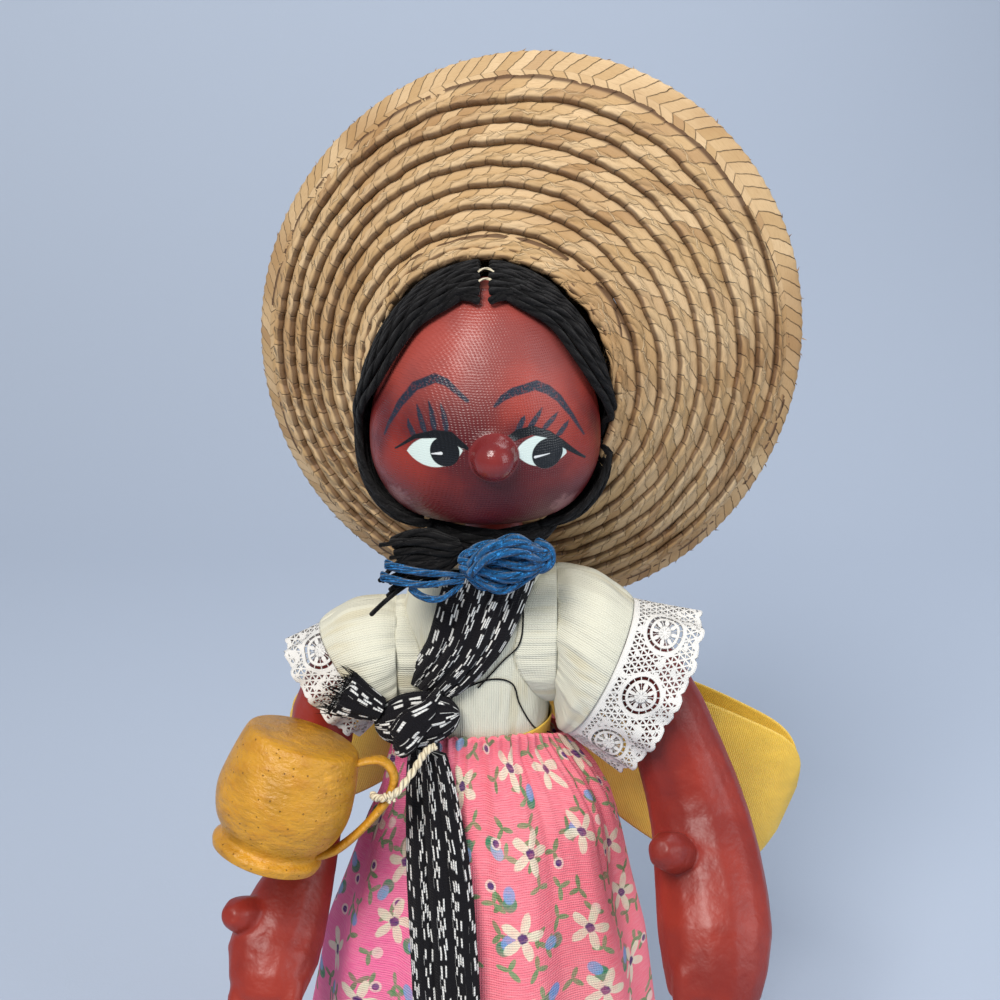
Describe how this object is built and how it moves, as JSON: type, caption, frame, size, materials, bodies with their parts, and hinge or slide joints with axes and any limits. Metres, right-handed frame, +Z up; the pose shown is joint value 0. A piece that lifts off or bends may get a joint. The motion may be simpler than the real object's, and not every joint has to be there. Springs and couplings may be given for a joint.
{
  "type": "folk doll",
  "caption": "Standing painted cloth folk doll with yarn hair, plaited straw hat, lace-edged blouse, knotted shawl, flowered skirt with satin bow and a small clay jug.",
  "frame": {"origin": "middle of the part's box on the ground, at the height of the soles", "axes": "+Z up, the doll faces -Y, its right hand is at -X"},
  "size_m": [0.1713, 0.1203, 0.3593],
  "materials": {
    "painted_cloth": "painted and varnished cloth, satin gloss",
    "wire": "bare soft wire",
    "black_yarn": "matt wool yarn",
    "blue_yarn": "matt wool yarn",
    "cotton_thread": "matt twisted cotton",
    "muslin": "plain unbleached cloth",
    "blouse_cloth": "ribbed cloth, soft sheen",
    "lace": "matt cotton lace",
    "satin_ribbon": "yellow satin",
    "calico": "matt printed cotton",
    "shawl_cloth": "matt woven cotton with pale flecks",
    "sole_leather": "bare leather",
    "shoe_leather": "smooth dark leather",
    "painted_clay": "glossy ochre paint, worn at the rim",
    "straw": "plaited natural straw"
  },
  "bodies": {
    "doll_body": {"head": "painted_cloth", "spine_wire": "wire", "hair_left": "black_yarn", "hair_right": "black_yarn", "part_stitch": "cotton_thread", "torso": "muslin", "blouse_bodice": "blouse_cloth", "waist_ribbon": "satin_ribbon", "skirt": "calico", "shawl_knot": "shawl_cloth", "shawl_neck": "shawl_cloth", "shawl_short_end": "shawl_cloth", "shawl_tail": "shawl_cloth", "hair_gather": "black_yarn", "braid_tuft": "black_yarn", "hair_bow": "blue_yarn", "hair_bow_ends": "blue_yarn", "leg_left": "painted_cloth", "leg_wire_left": "wire", "sole_left": "sole_leather", "shoe_left": "shoe_leather", "leg_right": "painted_cloth", "leg_wire_right": "wire", "sole_right": "sole_leather", "shoe_right": "shoe_leather", "bow_knot": "satin_ribbon", "bow_loop_left": "satin_ribbon", "bow_loop_right": "satin_ribbon", "bow_tail_left": "satin_ribbon", "bow_tail_right": "satin_ribbon", "hat_brim": "straw", "hat_edge_band": "straw", "hat_crown": "straw"},
    "left_arm": {"arm_left": "painted_cloth", "arm_wire_left": "wire", "sleeve_left": "blouse_cloth", "lace_left": "lace"},
    "right_arm": {"arm_right": "painted_cloth", "arm_wire_right": "wire", "sleeve_right": "blouse_cloth", "lace_right": "lace"},
    "jug": {"jug_body": "painted_clay", "jug_handle": "painted_clay", "jug_string": "cotton_thread"}
  },
  "joints": [
    {"name": "left_shoulder", "type": "hinge", "parent": "doll_body", "child": "left_arm", "pos_m": [-0.0106, -0.0042, 0.21], "axis": [-1, 0, 0], "range_deg": [-10, 60]},
    {"name": "right_shoulder", "type": "hinge", "parent": "doll_body", "child": "right_arm", "pos_m": [-0.0106, -0.0042, 0.204], "axis": [-1, 0, 0], "range_deg": [-12, 0]},
    {"name": "jug_swing", "type": "hinge", "parent": "doll_body", "child": "jug", "pos_m": [-0.0256, -0.03, 0.186], "axis": [0, 0, 1], "range_deg": [0, 35]}
  ]
}
